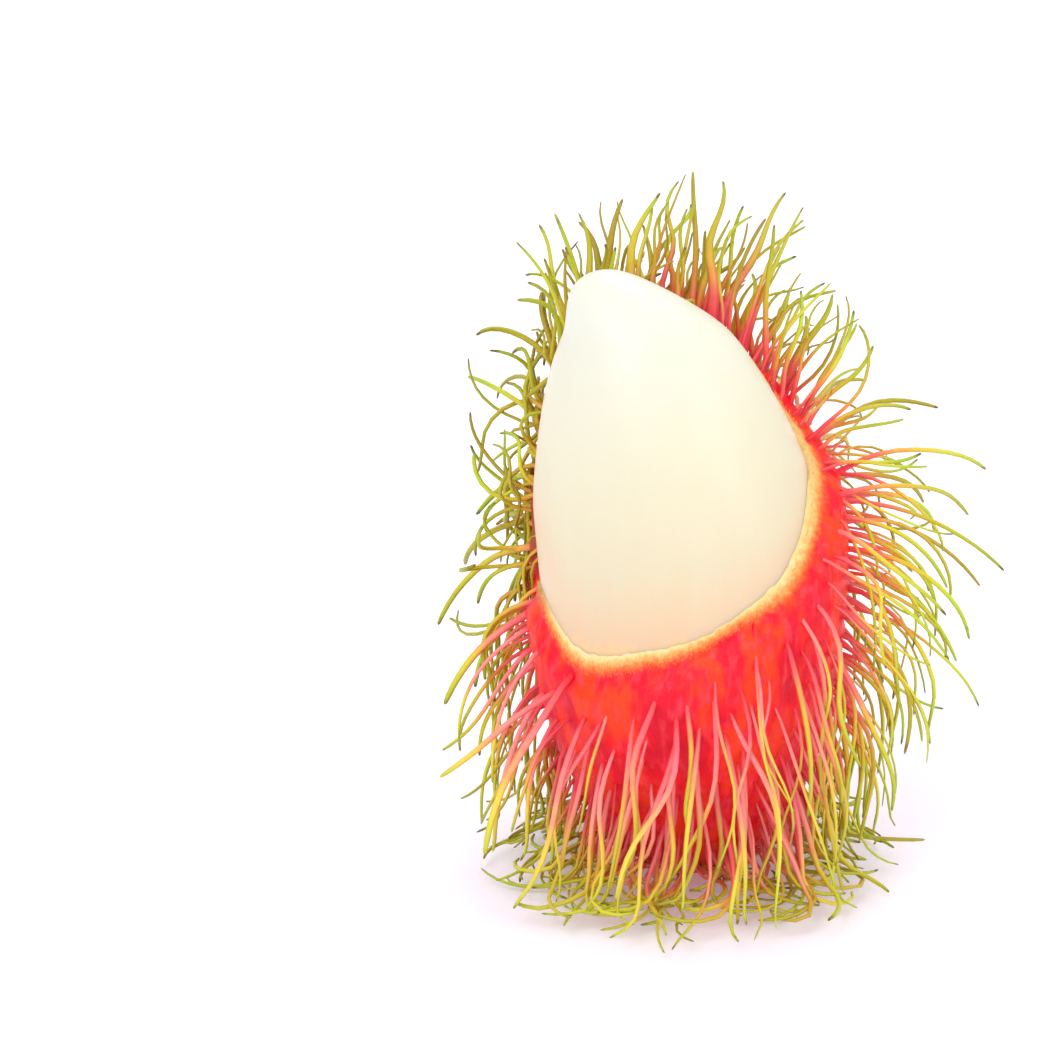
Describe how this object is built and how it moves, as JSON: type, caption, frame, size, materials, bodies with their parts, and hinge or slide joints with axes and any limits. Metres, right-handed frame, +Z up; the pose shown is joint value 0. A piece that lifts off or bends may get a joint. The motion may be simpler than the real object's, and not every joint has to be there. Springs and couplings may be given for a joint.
{
  "type": "rambutan",
  "caption": "Rambutan fruit with soft curling spines, the rind pulled off its upper front so that the pale flesh stands out of it, resting on a small flat spot.",
  "frame": {"origin": "middle of the small flat spot under the rind that the fruit rests on", "axes": "+Z up through the fruit from its stalk end, -Y the peeled side, which shows the flesh"},
  "size_m": [0.0564, 0.0576, 0.0695],
  "materials": {
    "rind": "matt red skin, with soft spines that fade through orange to yellow-green tips",
    "aril": "translucent ivory flesh with a moist satin surface"
  },
  "bodies": {
    "root": {"rind": "rind", "aril": "aril"}
  },
  "joints": []
}
